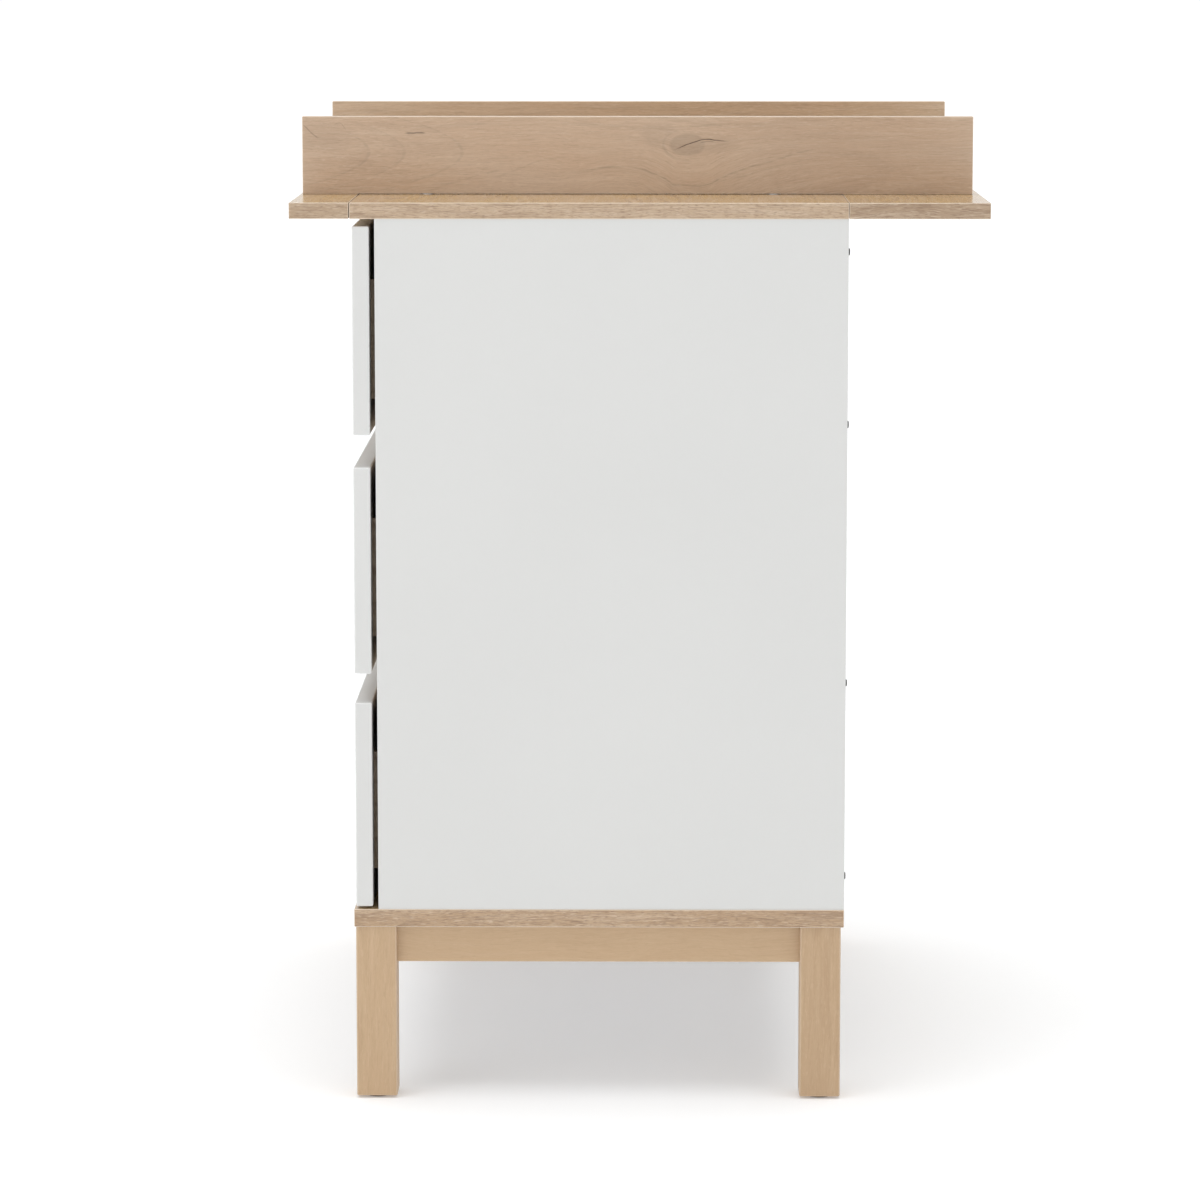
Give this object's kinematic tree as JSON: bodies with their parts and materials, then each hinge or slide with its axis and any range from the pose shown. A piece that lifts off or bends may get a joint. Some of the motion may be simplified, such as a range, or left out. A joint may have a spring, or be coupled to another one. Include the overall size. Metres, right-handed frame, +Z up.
{
  "type": "changing table",
  "caption": "Drawer chest on square legs with plain slab fronts, overhanging board top and a lift-off changing top of two strips and two upright side boards.",
  "frame": {"origin": "on the floor, at the centre of the overall width and depth", "axes": "+Z up, the drawers open towards -Y, +X and -X point out of the ends"},
  "size_m": [0.8, 0.6926, 0.984],
  "materials": {
    "white_laminate": "satin white laminate on board, fine emboss",
    "oak_laminate": "satin light knotty oak laminate, grain along the board",
    "solid_beech": "satin lacquered solid beech",
    "drawer_board": "matt beige wood-effect board",
    "white_hardboard": "matt white faced hardboard",
    "dark_screw": "black oxide",
    "zinc_steel": "bright zinc plated",
    "runner_steel": "zinc plated pressed steel",
    "glide_plastic": "matt dark brown plastic"
  },
  "bodies": {
    "chest": {"side_panel_right": "white_laminate", "side_panel_left": "white_laminate", "top_board": "oak_laminate", "bottom_board": "oak_laminate", "back_panel": "white_hardboard", "back_panel_screws": "dark_screw", "cross_rail_upper": "drawer_board", "cross_rail_lower": "drawer_board", "chest_cams": "zinc_steel", "dowels": "solid_beech", "runner_outer_top": "runner_steel", "runner_outer_middle": "runner_steel", "runner_outer_bottom": "runner_steel", "runner_screws": "zinc_steel", "tray_bolts": "zinc_steel", "tray_spacers": "zinc_steel", "leg_front_right": "solid_beech", "leg_front_left": "solid_beech", "leg_rear_right": "solid_beech", "leg_rear_left": "solid_beech", "base_rail_right": "solid_beech", "base_rail_left": "solid_beech", "base_rail_front": "solid_beech", "base_rail_rear": "solid_beech", "leg_glides": "glide_plastic", "corner_brackets": "zinc_steel", "hanger_bolts": "zinc_steel", "base_screws": "zinc_steel"},
    "drawer_top": {"drawer_front_top": "white_laminate", "drawer_side_right_top": "drawer_board", "drawer_side_left_top": "drawer_board", "drawer_back_top": "drawer_board", "drawer_bottom_top": "drawer_board", "drawer_runner_top": "runner_steel", "drawer_cams_top": "zinc_steel", "drawer_screws_top": "zinc_steel"},
    "cages_top": {"ball_cage_top": "runner_steel"},
    "drawer_middle": {"drawer_front_middle": "white_laminate", "drawer_side_right_middle": "drawer_board", "drawer_side_left_middle": "drawer_board", "drawer_back_middle": "drawer_board", "drawer_bottom_middle": "drawer_board", "drawer_runner_middle": "runner_steel", "drawer_cams_middle": "zinc_steel", "drawer_screws_middle": "zinc_steel"},
    "cages_middle": {"ball_cage_middle": "runner_steel"},
    "drawer_bottom": {"drawer_front_bottom": "white_laminate", "drawer_side_right_bottom": "drawer_board", "drawer_side_left_bottom": "drawer_board", "drawer_back_bottom": "drawer_board", "drawer_bottom_bottom": "drawer_board", "drawer_runner_bottom": "runner_steel", "drawer_cams_bottom": "zinc_steel", "drawer_screws_bottom": "zinc_steel"},
    "cages_bottom": {"ball_cage_bottom": "runner_steel"},
    "changing_top": {"front_strip": "oak_laminate", "back_strip": "oak_laminate", "upright_right": "oak_laminate", "upright_left": "oak_laminate", "tray_screws": "zinc_steel"}
  },
  "joints": [
    {"name": "drawer_top_slide", "type": "slide", "parent": "chest", "child": "drawer_top", "axis": [0, -1, 0], "range_m": [0, 0.3]},
    {"name": "drawer_middle_slide", "type": "slide", "parent": "chest", "child": "drawer_middle", "axis": [0, -1, 0], "range_m": [0, 0.3]},
    {"name": "drawer_bottom_slide", "type": "slide", "parent": "chest", "child": "drawer_bottom", "axis": [0, -1, 0], "range_m": [0, 0.3]},
    {"name": "cages_top_slide", "type": "slide", "parent": "chest", "child": "cages_top", "axis": [0, -1, 0], "range_m": [0, 0.15]},
    {"name": "cages_middle_slide", "type": "slide", "parent": "chest", "child": "cages_middle", "axis": [0, -1, 0], "range_m": [0, 0.15]},
    {"name": "cages_bottom_slide", "type": "slide", "parent": "chest", "child": "cages_bottom", "axis": [0, -1, 0], "range_m": [0, 0.15]},
    {"name": "changing_top_lift", "type": "slide", "parent": "chest", "child": "changing_top", "axis": [0, 0, 1], "range_m": [0, 0.06]}
  ],
  "couplings": [
    {"joint": "cages_top_slide", "follows": "drawer_top_slide", "ratio": 0.5},
    {"joint": "cages_middle_slide", "follows": "drawer_middle_slide", "ratio": 0.5},
    {"joint": "cages_bottom_slide", "follows": "drawer_bottom_slide", "ratio": 0.5}
  ]
}
